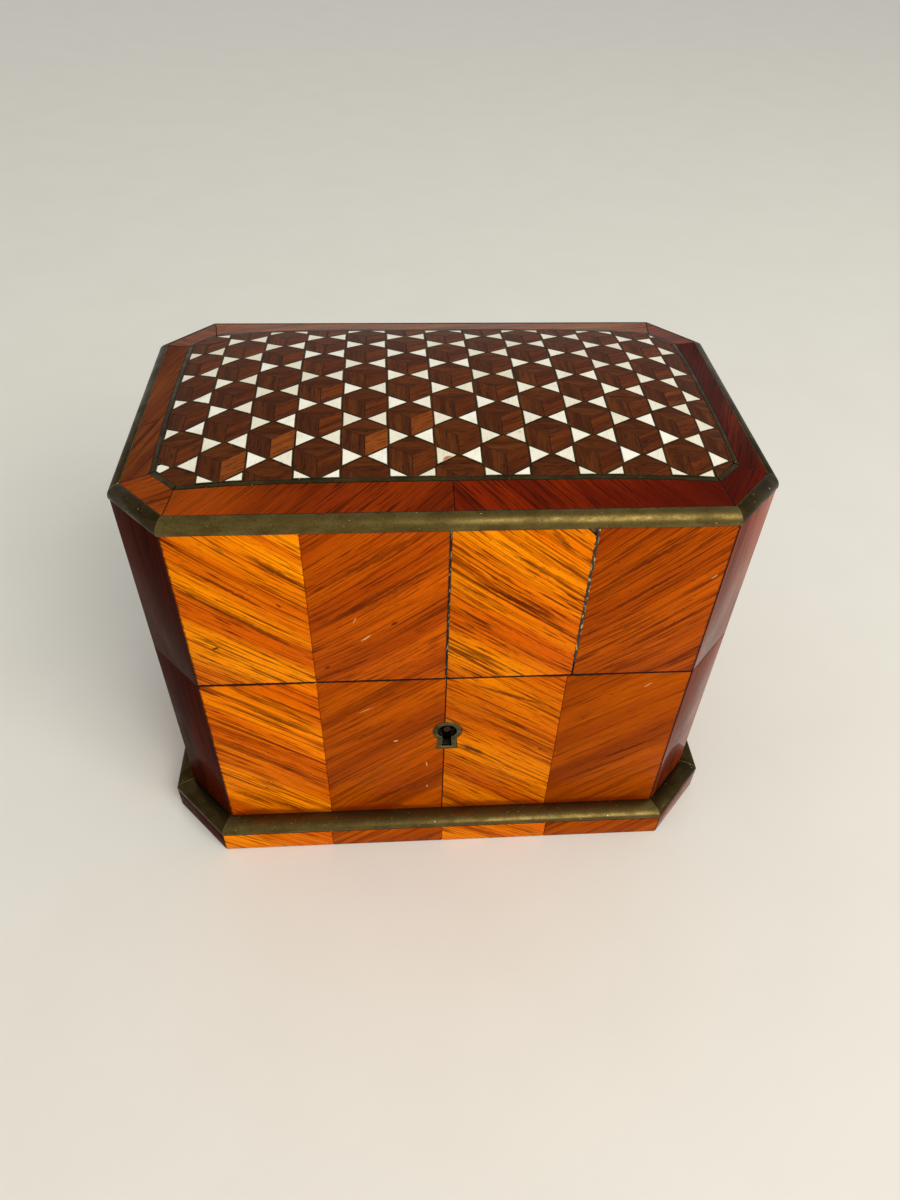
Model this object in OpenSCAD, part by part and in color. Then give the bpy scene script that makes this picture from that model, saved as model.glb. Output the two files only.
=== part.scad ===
// Domed marquetry casket: an octagonal case with a hinged, lockable lid.
// Origin at the centre of the footprint on the table, +Z up, the front faces -Y.

/* [Body] */
// Width of the body over the side faces
body_w = 190; // [150:1:230]
// Depth of the body over the front and back faces
body_d = 116; // [92:1:140]
// Length of a canted corner along the front
cant_x = 16; // [12:0.5:20]
// Length of a canted corner along the side
cant_y = 17; // [12:0.5:20]
// Height of the seam between case and lid
seam_z = 86; // [80:1:110]
// Height of the lid's upper edge
rim_z = 150.6; // [140:0.2:185]
// Gap left all round between the closed lid and the case
seam_gap = 0.2; // [0.1:0.05:0.4]

/* [Walls] */
// Thickness of the carcass boards
board_t = 9; // [8:0.5:11]
// Thickness of the sawn veneer
veneer_t = 1; // [0.8:0.1:1.4]
// Thickness of the velvet linings and of the baize
lining_t = 1.2; // [0.8:0.1:2]
// Thickness of the case's floor board
floor_t = 7; // [5:0.5:9]
// Thickness of the flat board under the dome
top_t = 8.6; // [6:0.2:10]

/* [Plinth] */
// How far the plinth stands out from the body
plinth_out = 6.5; // [4:0.5:9]
// Height of the wooden plinth rails
rail_h = 9.6; // [7:0.2:13]
// Height of the brass bead on the rails
bead_h = 3.2; // [2:0.2:5]

/* [Domed top] */
// Rise of the dome above the lid's upper edge
crown = 8.2; // [4:0.2:11]
// Width of the quarter-round brass moulding
rim_w = 3.4; // [2.4:0.2:5]
// Height of the quarter-round brass moulding
rim_h = 4; // [3:0.2:6]
// Border from the side faces to the inlaid panel
side_border = 12.7; // [10:0.1:18]
// Border from the front and back faces to the inlaid panel
front_border = 14.8; // [12:0.1:22]
// Length of the inlaid panel's canted corners
panel_cant = 7; // [4:0.5:10]
// Width of the brass fillet round the panel
fillet_w = 1.5; // [0.8:0.1:2.4]
// Width of the brass line round each bone triangle
string_w = 0.35; // [0.2:0.05:0.6]

/* [Front veneers] */
// First veneer seam, from the centre line
seam_a = -42; // [-50:0.5:-30]
// Second veneer seam, from the centre line
seam_b = -1; // [-4:0.5:4]
// Third veneer seam, from the centre line
seam_c = 39.4; // [30:0.2:50]
// How far the third seam on the case lies left of the lid's
seam_slip = 1.3; // [0:0.1:2]

/* [Lock] */
// Depth of the key pin's centre below the seam
key_drop = 27.2; // [24:0.2:34]
// Travel of the bolt
bolt_travel = 4; // [3:0.5:5]
// Half distance between the two staples
staple_x = 14; // [12:0.5:16]

/* [Hinges] */
// Distance of each hinge from the centre line
hinge_x = 55; // [35:1:62]
// Length of a hinge
hinge_l = 30; // [24:1:40]
// Radius of the hinge knuckles
knuckle_r = 1.6; // [1.4:0.1:2]
// Radius of the hinge pins
pin_r = 0.8; // [0.6:0.05:1]

/* [Hidden] */
$fn = 48;

half_w = body_w / 2;
half_d = body_d / 2;
wall_t = board_t + veneer_t;
joint = 0.06;                        // glue line between two pieces of one node
lid_z = seam_z + seam_gap;           // underside of the lid's walls
bead_z = rail_h + bead_h;            // top of the plinth's brass bead
moulding_z = rim_z - rim_h;          // underside of the brass moulding
ceiling_z = moulding_z - top_t;      // underside of the flat top board
base_z = 2;                          // underside of the walls and floor board
floor_z = base_z + floor_t;
FRONT = 0;
RIGHT = 2;
BACK = 4;
LEFT = 6;
CANTS = [1, 3, 5, 7];

rosewood = "#3a0d08";
tulip_light = "#e07a10";
tulip_dark = "#b35408";
banding_red = "#8c2f0c";
walnut = "#4b2410";
oak = "#b58a55";
brass = "#a08a4a";
old_brass = "#5d5230";
steel = "#8d8f92";
bone = "#e8e4d2";
velvet = "#5a1420";
green_baize = "#2f4a35";

// ---- Octagons: corner i, moved inwards by t, of one with half sizes w and d and cant legs p and q

function octagon_corner(i, t, w, d, p, q) =
    let (
        leg = sqrt(p * p + q * q),
        reach = (w - p) * q + d * p - leg * t,
        x = (reach - p * (d - t)) / q,
        y = (reach - q * (w - t)) / p,
        k = (i + 8) % 8
    )
    [[-x, t - d], [x, t - d], [w - t, -y], [w - t, y], [x, d - t], [-x, d - t], [t - w, y], [t - w, -y]][k];

function corner(i, t) = octagon_corner(i, t, half_w, half_d, cant_x, cant_y);
function panel_corner(i, t) = octagon_corner(i, t, panel_x, panel_y, panel_cant, panel_cant);
function along(a, b, s) = a + (b - a) * s / norm(b - a);
function side_angle(i) = let (v = corner(i + 1, 0) - corner(i, 0)) atan2(v[1], v[0]);

// One mitred length of side i, between insets t0 and t1; ends shortened by g / 2
module side_prism(i, t0, t1, z0, z1, g = 0) {
    a = corner(i, t0);
    b = corner(i + 1, t0);
    c = corner(i + 1, t1);
    d = corner(i, t1);
    translate([0, 0, z0])
        linear_extrude(z1 - z0)
            polygon([along(a, b, g / 2), along(b, a, g / 2), along(c, d, g / 2), along(d, c, g / 2)]);
}

// A full octagonal plate at inset t
module plate(t, z0, z1)
    translate([0, 0, z0])
        linear_extrude(z1 - z0)
            polygon([for (i = [0:7]) corner(i, t)]);

// A mitred length of moulding on side i; the profile is in inset and height
module side_moulding(i, profile, t_out, t_in, z0, z1)
    intersection() {
        translate(concat(corner(i, 0), 0))
            rotate([0, 0, side_angle(i)])
                translate([-half_w, 0, 0])
                    rotate([90, 0, 90])
                        linear_extrude(2 * body_w)
                            polygon(profile);
        side_prism(i, t_out, t_in, z0, z1, joint);
    }

// A box given by its low and high corners
module block(low, high)
    translate(low)
        cube(high - low);

// Points of a quarter of an ellipse, from its outer end to its top
function quarter(c, rx, rz, steps = 8) =
    [for (k = [0:steps]) c + [-rx * cos(90 * k / steps), rz * sin(90 * k / steps)]];

// ---- The dome: height of the finished top surface over a point of the plan

dome_x = half_w - rim_w;
dome_y = half_d - rim_w;
cant_leg = sqrt(cant_x * cant_x + cant_y * cant_y);
dome_cant = (half_w - cant_x) * cant_y + half_d * cant_x - cant_leg * rim_w;

function fall(s, power) = 1 - pow(min(1, abs(s)), power);
function dome(p) =
    rim_z + crown * fall(p[0] / dome_x, 4) * fall(p[1] / dome_y, 2.1)
        * fall((cant_y * abs(p[0]) + cant_x * abs(p[1])) / dome_cant, 14);

skin_t = veneer_t;                   // thickness of the tiles, banding and fillet
glue_t = 0.3;                        // uneven glue bed between the ground and the tiles

// A curved strip of the top: plan corners a, b outside and c, d inside, cut in nu by nv cells
module skin_patch(a, b, c, d, nu, nv, u0 = 0, u1 = 1) {
    trim = joint / 2 / norm(b - a);
    plan = [for (j = [0:nv], i = [0:nu])
        let (u = u0 + trim + (u1 - u0 - 2 * trim) * i / nu, v = j / nv)
        (a * (1 - u) + b * u) * (1 - v) + (d * (1 - u) + c * u) * v];
    row = nu + 1;
    count = len(plan);
    points = concat(
        [for (p = plan) [p[0], p[1], dome(p) - skin_t]],
        [for (p = plan) [p[0], p[1], dome(p)]]);
    edge = concat(
        [for (i = [0:nu - 1]) i],
        [for (j = [0:nv - 1]) nu + j * row],
        [for (i = [nu:-1:1]) nv * row + i],
        [for (j = [nv:-1:1]) j * row]);
    rim = len(edge);
    faces = concat(
        [for (j = [0:nv - 1], i = [0:nu - 1]) let (k = j * row + i)
            each [[k, k + 1, k + row + 1], [k, k + row + 1, k + row]]],
        [for (j = [0:nv - 1], i = [0:nu - 1]) let (k = count + j * row + i)
            each [[k, k + row + 1, k + 1], [k, k + row, k + row + 1]]],
        [for (e = [0:rim - 1]) let (p = edge[e], q = edge[(e + 1) % rim])
            each [[p, p + count, q + count], [p, q + count, q]]]);
    polyhedron(points, faces);
}

// ---- The inlaid panel: a lattice of hexagons and triangles, with rows 0 to 11 from the front

panel_x = half_w - side_border;
panel_y = half_d - front_border;
last_row = 11;
tile = 2 * panel_y / last_row;       // side of a triangle
squeeze = 0.972;                     // the hexagons are laid a little narrower than regular ones
pitch = squeeze * sqrt(3) * tile;    // distance between columns
mid_column = 6.825;                  // column number on the centre line
columns = [floor(mid_column - panel_x / pitch) : ceil(mid_column + panel_x / pitch)];

function place(k, r) = [(k - mid_column) * pitch, (r - last_row / 2) * tile];
function is_even(n) = n % 2 == 0;
bow_ties = [for (k = columns, r = [0:last_row]) if (is_even(k + r)) place(k, r)];
hexagons = [for (k = columns, r = [0:last_row]) if (!is_even(k + r)) place(k, r)];

west = [-pitch / 2, 0];
east = [pitch / 2, 0];
north = [0, tile];
south = [0, -tile];
half_n = [0, tile / 2];

function cut(poly, n, c) =
    [for (i = [0:len(poly) - 1])
        let (a = poly[i], b = poly[(i + 1) % len(poly)], da = n * a - c, db = n * b - c)
        each concat(da <= 0 ? [a] : [], da * db < 0 ? [a + (b - a) * da / (da - db)] : [])];
function cut_by_side(poly, i) =
    let (a = panel_corner(i, 0), b = panel_corner(i + 1, 0), v = (b - a) / norm(b - a), n = [v[1], -v[0]])
    len(poly) < 3 ? [] : cut(poly, n, n * a);
function cut_to_panel(poly, i = 0) = i == 8 ? poly : cut_to_panel(cut_by_side(poly, i), i + 1);
function without_short_edges(poly) =
    len(poly) < 3 ? [] : [for (i = [0:len(poly) - 1]) if (norm(poly[(i + 1) % len(poly)] - poly[i]) > 0.5) poly[i]];

function inward(a, b) = let (v = (b - a) / norm(b - a)) [-v[1], v[0]];
function inset(poly, t) =
    let (n = len(poly))
    [for (i = [0:n - 1])
        let (m = inward(poly[(i + n - 1) % n], poly[i]), k = inward(poly[i], poly[(i + 1) % n]))
        poly[i] + (m + k) * t / (1 + m * k)];
function same_way(p, q) =
    let (n = len(p))
    len([for (i = [0:n - 1]) if ((p[(i + 1) % n] - p[i]) * (q[(i + 1) % n] - q[i]) <= 0.02) i]) == 0;
function fits(poly, t) = len(poly) > 2 && same_way(poly, inset(poly, t));

// Tiles cut to the panel; those too small for their brass line are left to the fillet
function laid(tiles, t) = [for (s = tiles) let (p = without_short_edges(cut_to_panel(s))) if (fits(p, t)) p];

bones = laid([for (o = bow_ties) each [[o, o + west + half_n, o + west - half_n],
                                       [o, o + east - half_n, o + east + half_n]]], string_w + 0.1);
top_rhombi = [for (o = hexagons) [o, o + east + half_n, o + north, o + west + half_n]];
left_rhombi = [for (o = hexagons) [o, o + west + half_n, o + west - half_n, o + south]];
right_rhombi = [for (o = hexagons) [o, o + south, o + east - half_n, o + east + half_n]];

function running_sum(v) = [for (i = 0, s = 0; i < len(v); s = s + v[i], i = i + 1) s];
function raised(poly, drop) = [for (p = poly) [p[0], p[1], dome(p) - drop]];

// Flat-sided tiles bent to the dome, one closed shell each
module tiles(polys) {
    starts = running_sum([for (p = polys) 2 * len(p)]);
    points = [for (p = polys) each concat(raised(p, skin_t), raised(p, 0))];
    faces = [for (s = [0:len(polys) - 1]) let (n = len(polys[s]), o = starts[s])
        each concat(
            [for (k = [1:n - 2]) [o, o + k, o + k + 1]],
            [for (k = [1:n - 2]) [o + n, o + n + k + 1, o + n + k]],
            [for (k = [0:n - 1]) let (m = (k + 1) % n)
                each [[o + k, o + n + k, o + n + m], [o + k, o + n + m, o + m]]])];
    polyhedron(points, faces);
}

// A thin brass line round each tile, one closed ring each
module rings(outer, inner) {
    starts = running_sum([for (p = outer) 4 * len(p)]);
    points = [for (s = [0:len(outer) - 1])
        each concat(raised(outer[s], skin_t), raised(outer[s], 0), raised(inner[s], skin_t), raised(inner[s], 0))];
    faces = [for (s = [0:len(outer) - 1]) let (n = len(outer[s]), o = starts[s])
        each [for (k = [0:n - 1]) let (m = (k + 1) % n)
            each [
                [o + k, o + n + k, o + n + m], [o + k, o + n + m, o + m],
                [o + 2 * n + k, o + 3 * n + m, o + 3 * n + k], [o + 2 * n + k, o + 2 * n + m, o + 3 * n + m],
                [o + n + k, o + 3 * n + m, o + n + m], [o + n + k, o + 3 * n + k, o + 3 * n + m],
                [o + k, o + m, o + 2 * n + m], [o + k, o + 2 * n + m, o + 2 * n + k]]]];
    polyhedron(points, faces);
}

// ---- Screws, drawn pointing down with the head's face at z = 0

screw_r = 0.9;
head_r = 1.7;
head_h = 0.8;

module screw_body(length) {
    translate([0, 0, -head_h])
        cylinder(h = head_h, r1 = screw_r, r2 = head_r);
    translate([0, 0, -length])
        cylinder(h = length - head_h, r = screw_r);
}

module slotted_screw(length)
    difference() {
        screw_body(length);
        translate([-head_r - 1, -0.2, -0.35])
            cube([2 * head_r + 2, 0.4, 1]);
    }

// ---- Lock positions

lock_half = 26;                      // half width of the lock's box
ear_half = 31;                       // half width of its plate and selvedge
sheet_t = 1.2;                       // thickness of plate, selvedge and strike plate
lock_back = wall_t - half_d;         // the lock plate lies flush with the wall's inner face
lock_front = lock_back - 7.2;
key_z = seam_z - key_drop;
lock_low = key_z - 11.6;
staple_y = lock_back - 3.8;
staple_drop = 9.2;                   // reach of a staple below the strike plate
ear_screw_x = 28.6;
screw_l = 8;

// Keyhole outline: a round head with a flared skirt
module keyhole(r, neck, foot, drop) {
    circle(r);
    polygon([[neck / 2, 0], [-neck / 2, 0], [-foot / 2, -drop], [foot / 2, -drop]]);
}

module keyhole_cut(y0, y1, r, neck, foot, drop)
    translate([0, y1, key_z])
        rotate([90, 0, 0])
            linear_extrude(y1 - y0)
                keyhole(r, neck, foot, drop);

module key_opening(y0, y1) keyhole_cut(y0, y1, 3.4, 2.4, 3.8, 8.1);
module thread_outline(y0, y1) keyhole_cut(y0, y1, 4.9, 5.4, 7.2, 9.4);

module at_selvedge_screws()
    for (side = [-1, 1])
        translate([side * ear_screw_x, staple_y, seam_z])
            children();

module at_plate_screws()
    for (side = [-1, 1], z = [lock_low + 4, seam_z - 20])
        translate([side * ear_screw_x, lock_back, z])
            rotate([-90, 0, 0])
                children();

module at_strike_screws()
    for (side = [-1, 1])
        translate([side * ear_screw_x, staple_y, lid_z])
            rotate([180, 0, 0])
                children();

// ---- Hinge positions

leaf_t = 1;
leaf_w = 8;
axis_y = half_d + knuckle_r + 0.1;
axis_z = seam_z + seam_gap / 2;
knuckle_l = hinge_l / 3;
leaf_y = half_d - leaf_w;

module at_hinges()
    for (side = [-1, 1])
        translate([side * hinge_x, 0, 0])
            children();

module at_leaf_screws(z, turn)
    at_hinges()
        for (k = [-1, 0, 1])
            translate([k * hinge_l / 3, leaf_y + leaf_w / 2 - 0.6, z])
                rotate([turn, 0, 0])
                    children();

// A knuckle along X with the tab that joins it to its leaf
module knuckle(x0, x1, z0, z1, bore) {
    difference() {
        union() {
            translate([x0, axis_y, axis_z])
                rotate([0, 90, 0])
                    cylinder(h = x1 - x0, r = knuckle_r);
            block([x0, half_d - 0.5, z0], [x1, axis_y, z1]);
        }
        translate([x0 - 1, axis_y, axis_z])
            rotate([0, 90, 0])
                cylinder(h = x1 - x0 + 2, r = bore);
    }
}

module leaf_plate(z0)
    block([-hinge_l / 2, leaf_y, z0], [hinge_l / 2, half_d, z0 + leaf_t]);

// ---- Carcass and plinth of the case

module bottom_board() color(oak)
    plate(wall_t, base_z, floor_z);

module case_board(i)
    side_prism(i, veneer_t, wall_t, base_z, seam_z);

module case_front_board() color(oak)
    difference() {
        case_board(FRONT);
        block([-ear_half, lock_front, seam_z - sheet_t], [ear_half, lock_back + 1, seam_z + 1]);
        block([-ear_half, lock_back - sheet_t, lock_low - 3], [ear_half, lock_back + 1, seam_z]);
        block([-lock_half, lock_front, lock_low], [lock_half, lock_back, seam_z]);
        key_opening(-half_d - 1, lock_back);
        at_selvedge_screws() screw_body(screw_l);
        at_plate_screws() screw_body(screw_l - 2);
    }

module case_back_board() color(oak)
    difference() {
        case_board(BACK);
        at_hinges() block([-hinge_l / 2, leaf_y, seam_z - leaf_t], [hinge_l / 2, half_d + 1, seam_z + 1]);
        at_leaf_screws(seam_z, 0) screw_body(screw_l);
    }

module case_left_board() color(oak)
    case_board(LEFT);

module case_right_board() color(oak)
    case_board(RIGHT);

module case_corner_boards() color(oak)
    for (i = CANTS)
        case_board(i);

module rail(i)
    side_prism(i, veneer_t - plinth_out, veneer_t, 0, rail_h);

module plinth_front_rail() color(oak)
    rail(FRONT);

module plinth_back_rail() color(oak)
    rail(BACK);

module plinth_left_rail() color(oak)
    rail(LEFT);

module plinth_right_rail() color(oak)
    rail(RIGHT);

module plinth_corner_rails() color(oak)
    for (i = CANTS)
        rail(i);

module plinth_bead() color(old_brass)
    for (i = [0:7])
        side_moulding(i, concat([[0, rail_h], [-plinth_out, rail_h]],
                                quarter([-1.2, rail_h + 0.8], plinth_out - 1.2, bead_h - 0.8),
                                [[0, bead_z]]), -plinth_out - 2, 0, 0, seam_z);

// ---- Veneers

// Vertical strips of front veneer between the seams
module front_strips(t0, t1, z0, z1, slip) {
    seams = [-body_w, seam_a, seam_b, seam_c - slip, body_w];
    for (k = [0:3])
        intersection() {
            side_prism(FRONT, t0, t1, z0, z1, joint);
            block([seams[k] + joint / 2, -body_d, z0 - 1], [seams[k + 1] - joint / 2, 0, z1 + 1]);
        }
}

module case_front_veneers() color(tulip_light)
    difference() {
        front_strips(0, veneer_t, rail_h, seam_z, seam_slip);
        thread_outline(-half_d - 1, veneer_t - half_d + 1);
    }

module case_side_veneers() color(rosewood)
    difference() {
        for (i = [RIGHT, BACK, LEFT])
            side_prism(i, 0, veneer_t, rail_h, seam_z, joint);
        at_hinges() block([-hinge_l / 2, leaf_y, seam_z - leaf_t], [hinge_l / 2, half_d + 1, seam_z + 1]);
    }

module case_cant_veneers() color(rosewood)
    for (i = CANTS)
        side_prism(i, 0, veneer_t, rail_h, seam_z, joint);

module plinth_veneers() color(tulip_dark) {
    front_strips(-plinth_out, veneer_t - plinth_out, 0, rail_h, seam_slip);
    for (i = [1:7])
        side_prism(i, -plinth_out, veneer_t - plinth_out, 0, rail_h, joint);
}

// ---- Lock

module escutcheon() color(brass)
    difference() {
        thread_outline(-half_d - 0.15, veneer_t - half_d);
        key_opening(-half_d - 1, veneer_t - half_d + 1);
    }

module lock_case() color(steel) {
    difference() {
        block([-lock_half, lock_front, lock_low], [lock_half, lock_back - sheet_t, seam_z - sheet_t]);
        block([1 - lock_half, lock_front + 0.8, lock_low + 1], [lock_half - 1, lock_back, seam_z]);
        key_opening(lock_front - 1, lock_front + 2);
    }
    for (side = [-1, 1])
        translate([side * 16.5, 0, 0])
            block([-7.5, lock_front + 0.5, seam_z - 22], [7.5, lock_back - sheet_t - 0.4, seam_z - 20.2]);
}

module lock_plate() color(brass)
    difference() {
        block([-ear_half, lock_back - sheet_t, lock_low - 3], [ear_half, lock_back, seam_z - sheet_t]);
        at_plate_screws() screw_body(screw_l - 2);
        translate([0, lock_back + 1, key_z])
            rotate([90, 0, 0])
                cylinder(h = sheet_t + 2, r = 0.9);
    }

module lock_selvedge() color(brass)
    difference() {
        block([-ear_half, lock_front, seam_z - sheet_t], [ear_half, lock_back, seam_z]);
        for (side = [-1, 1])
            translate([side * staple_x, 0, 0])
                block([-1.4, lock_front + 0.7, seam_z - 2], [1.4, lock_back - 1, seam_z + 1]);
        at_selvedge_screws() screw_body(screw_l);
    }

module key_pin() color(brass) {
    translate([0, lock_back - sheet_t, key_z])
        rotate([90, 0, 0])
            cylinder(h = 8, r = 1.3);
    translate([0, lock_back, key_z])
        rotate([90, 0, 0])
            cylinder(h = sheet_t + 0.2, r = 0.9);
}

module lock_spring() color(steel) {
    rise = 2;
    span = 8;
    bow = [for (k = [-6:6]) [k * span / 6, rise * cos(15 * k)]];
    translate([-4, staple_y + 1.2, seam_z - 11.4])
        rotate([90, 0, 0])
            linear_extrude(2)
                polygon(concat(bow, [for (k = [6:-1:-6]) [k * span / 6, rise * cos(15 * k) + 0.5]]));
    translate([-4, lock_back - sheet_t, seam_z - 8.2])
        rotate([90, 0, 0])
            cylinder(h = 4.4, r = 0.9);
}

module lock_screws() color(brass) {
    at_selvedge_screws() slotted_screw(screw_l);
    at_plate_screws() slotted_screw(screw_l - 2);
}

// A bar with two hooks that pass through the staples' eyes when the bolt is thrown
module lock_bolt() color(brass) {
    bar_low = seam_z - 20;
    bar_high = seam_z - 12;
    prong_low = seam_z - 7;
    prong_high = seam_z - 4.6;
    back = staple_y + 1.3;
    front = staple_y - 1.3;
    difference() {
        union() {
            block([-staple_x - 9, front, bar_low], [8.5, back, bar_high]);
            for (side = [-1, 1]) {
                post = side * staple_x - 9;
                block([post, front, bar_high - 1], [post + 3.4, back, prong_high]);
                block([post + 2, staple_y - 0.8, prong_low], [post + 7.5, staple_y + 0.8, prong_high]);
            }
        }
        translate([-1, front - 1, bar_low])
            rotate([-90, 0, 0])
                cylinder(h = 6, r = 2.4);
    }
}

// ---- Hinges

module hinge_lower_leaves() color(brass) {
    difference() {
        at_hinges() leaf_plate(seam_z - leaf_t);
        at_leaf_screws(seam_z, 0) screw_body(screw_l);
    }
    at_hinges() {
        knuckle(-hinge_l / 2, -knuckle_l / 2 - 0.15, seam_z - leaf_t, seam_z, pin_r);
        knuckle(knuckle_l / 2 + 0.15, hinge_l / 2, seam_z - leaf_t, seam_z, pin_r);
    }
}

module hinge_pins() color(steel)
    at_hinges()
        translate([-hinge_l / 2, axis_y, axis_z])
            rotate([0, 90, 0])
                cylinder(h = hinge_l, r = pin_r);

module hinge_lower_screws() color(brass)
    at_leaf_screws(seam_z, 0) slotted_screw(screw_l);

module hinge_upper_leaves() color(brass) {
    difference() {
        at_hinges() leaf_plate(lid_z);
        at_leaf_screws(lid_z, 180) screw_body(screw_l);
    }
    at_hinges() knuckle(-knuckle_l / 2, knuckle_l / 2, lid_z, lid_z + leaf_t, pin_r + 0.05);
}

module hinge_upper_screws() color(brass)
    at_leaf_screws(lid_z, 180) slotted_screw(screw_l);

// ---- Linings

module case_wall_lining() color(velvet)
    difference() {
        for (i = [0:7])
            side_prism(i, wall_t, wall_t + lining_t, floor_z + lining_t, seam_z - 1.6, joint);
        block([-ear_half - 1, -half_d, lock_low - 4], [ear_half + 1, lock_back + lining_t + 1, seam_z]);
    }

module case_floor_lining() color(velvet)
    plate(wall_t, floor_z, floor_z + lining_t);

module underside_baize() color(green_baize)
    plate(veneer_t, base_z - lining_t, base_z);

module lid_wall_lining() color(velvet)
    for (i = [0:7])
        side_prism(i, wall_t, wall_t + lining_t, lid_z + 1.4, ceiling_z - lining_t, joint);

module lid_ceiling_lining() color(velvet)
    plate(wall_t, ceiling_z - lining_t, ceiling_z);

// ---- Lid carcass

module lid_board(i)
    side_prism(i, veneer_t, wall_t, lid_z, ceiling_z);

module lid_front_board() color(oak)
    difference() {
        lid_board(FRONT);
        block([-ear_half, lock_front, lid_z - 1], [ear_half, lock_back + 1, lid_z + sheet_t]);
        at_strike_screws() screw_body(screw_l);
    }

module lid_back_board() color(oak)
    difference() {
        lid_board(BACK);
        at_hinges() block([-hinge_l / 2, leaf_y, lid_z - 1], [hinge_l / 2, half_d + 1, lid_z + leaf_t]);
        at_leaf_screws(lid_z, 180) screw_body(screw_l);
    }

module lid_left_board() color(oak)
    lid_board(LEFT);

module lid_right_board() color(oak)
    lid_board(RIGHT);

module lid_corner_boards() color(oak)
    for (i = CANTS)
        lid_board(i);

module lid_top_board() color(oak)
    plate(veneer_t, ceiling_z, moulding_z);

// The shaped ground: rings of points drawn in towards the centre and lifted to the dome
module lid_dome_ground() color(oak) {
    cells = [10, 2, 6, 2, 10, 2, 6, 2];
    levels = 8;
    edge = [for (i = [0:7], k = [0:cells[i] - 1])
        corner(i, rim_w) + (corner(i + 1, rim_w) - corner(i, rim_w)) * k / cells[i]];
    n = len(edge);
    plan = [for (s = [0:levels - 1], p = edge) p * (1 - s / levels)];
    points = concat(
        [for (p = edge) [p[0], p[1], moulding_z]],
        raised(plan, skin_t + glue_t),
        raised([[0, 0]], skin_t + glue_t),
        [[0, 0, moulding_z]]);
    apex = (levels + 1) * n;
    faces = concat(
        [for (k = [0:n - 1]) [k, (k + 1) % n, apex + 1]],
        [for (s = [0:levels - 1], k = [0:n - 1]) let (a = s * n + k, b = s * n + (k + 1) % n)
            each [[a, a + n, b + n], [a, b + n, b]]],
        [for (k = [0:n - 1]) [levels * n + k, apex, levels * n + (k + 1) % n]]);
    polyhedron(points, faces);
}

module lid_front_veneers() color(tulip_light)
    front_strips(0, veneer_t, lid_z, moulding_z, 0);

module lid_side_veneers() color(rosewood)
    difference() {
        for (i = [RIGHT, BACK, LEFT])
            side_prism(i, 0, veneer_t, lid_z, moulding_z, joint);
        at_hinges() block([-hinge_l / 2, leaf_y, lid_z - 1], [hinge_l / 2, half_d + 1, lid_z + leaf_t]);
    }

module lid_cant_veneers() color(rosewood)
    for (i = CANTS)
        side_prism(i, 0, veneer_t, lid_z, moulding_z, joint);

module lid_moulding() color(old_brass)
    for (i = [0:7])
        side_moulding(i, concat([[rim_w, moulding_z], [-0.3, moulding_z]],
                                quarter([rim_w, moulding_z + 0.4], rim_w + 0.3, rim_h - 0.4)),
                      -3, rim_w + 1, moulding_z - 1, rim_z + 1);

// ---- Inlaid top

module top_banding() color(banding_red)
    for (i = [0:7]) {
        a = corner(i, rim_w);
        b = corner(i + 1, rim_w);
        c = panel_corner(i + 1, -fillet_w);
        d = panel_corner(i, -fillet_w);
        cells = i == FRONT || i == BACK ? 10 : i % 2 == 1 ? 2 : 6;
        if (i == FRONT) {
            skin_patch(a, b, c, d, cells / 2, 2, 0, 0.5);
            skin_patch(a, b, c, d, cells / 2, 2, 0.5, 1);
        } else
            skin_patch(a, b, c, d, cells, 2);
    }

module panel_fillet() color(old_brass)
    for (i = [0:7])
        skin_patch(panel_corner(i, -fillet_w), panel_corner(i + 1, -fillet_w), panel_corner(i + 1, 0),
                   panel_corner(i, 0), i == FRONT || i == BACK ? 10 : i % 2 == 1 ? 1 : 6, 1);

module bone_triangles() color(bone)
    tiles([for (p = bones) inset(p, string_w + joint / 2)]);

module brass_stringing() color(old_brass)
    rings([for (p = bones) inset(p, joint / 2)], [for (p = bones) inset(p, string_w)]);

module rhombi(polys)
    tiles([for (p = laid(polys, joint)) inset(p, joint / 2)]);

module cube_tops() color(walnut)
    rhombi(top_rhombi);

module cube_lefts() color(walnut)
    rhombi(left_rhombi);

module cube_rights() color(banding_red)
    rhombi(right_rhombi);

// ---- Strike plate with its two staples

module strike_plate() color(brass)
    difference() {
        union() {
            block([-ear_half, lock_front, lid_z], [ear_half, lock_back, lid_z + sheet_t]);
            for (side = [-1, 1])
                translate([side * staple_x, staple_y, lid_z])
                    difference() {
                        block([-0.9, -2.1, -staple_drop], [0.9, 2.1, 0.5]);
                        block([-2, -1.1, 1.2 - staple_drop], [2, 1.1, 5.2 - staple_drop]);
                    }
        }
        at_strike_screws() screw_body(screw_l);
    }

module strike_screws() color(brass)
    at_strike_screws() slotted_screw(screw_l);

bottom_board();
case_front_board();
case_back_board();
case_left_board();
case_right_board();
case_corner_boards();
plinth_front_rail();
plinth_back_rail();
plinth_left_rail();
plinth_right_rail();
plinth_corner_rails();
plinth_bead();
case_front_veneers();
case_side_veneers();
case_cant_veneers();
plinth_veneers();
escutcheon();
lock_case();
lock_plate();
lock_selvedge();
key_pin();
lock_spring();
lock_screws();
lock_bolt();
hinge_lower_leaves();
hinge_pins();
hinge_lower_screws();
case_wall_lining();
case_floor_lining();
underside_baize();
lid_front_board();
lid_back_board();
lid_left_board();
lid_right_board();
lid_corner_boards();
lid_top_board();
lid_dome_ground();
lid_front_veneers();
lid_side_veneers();
lid_cant_veneers();
lid_moulding();
top_banding();
panel_fillet();
bone_triangles();
brass_stringing();
cube_tops();
cube_lefts();
cube_rights();
strike_plate();
strike_screws();
hinge_upper_leaves();
hinge_upper_screws();
lid_wall_lining();
lid_ceiling_lining();
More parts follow.
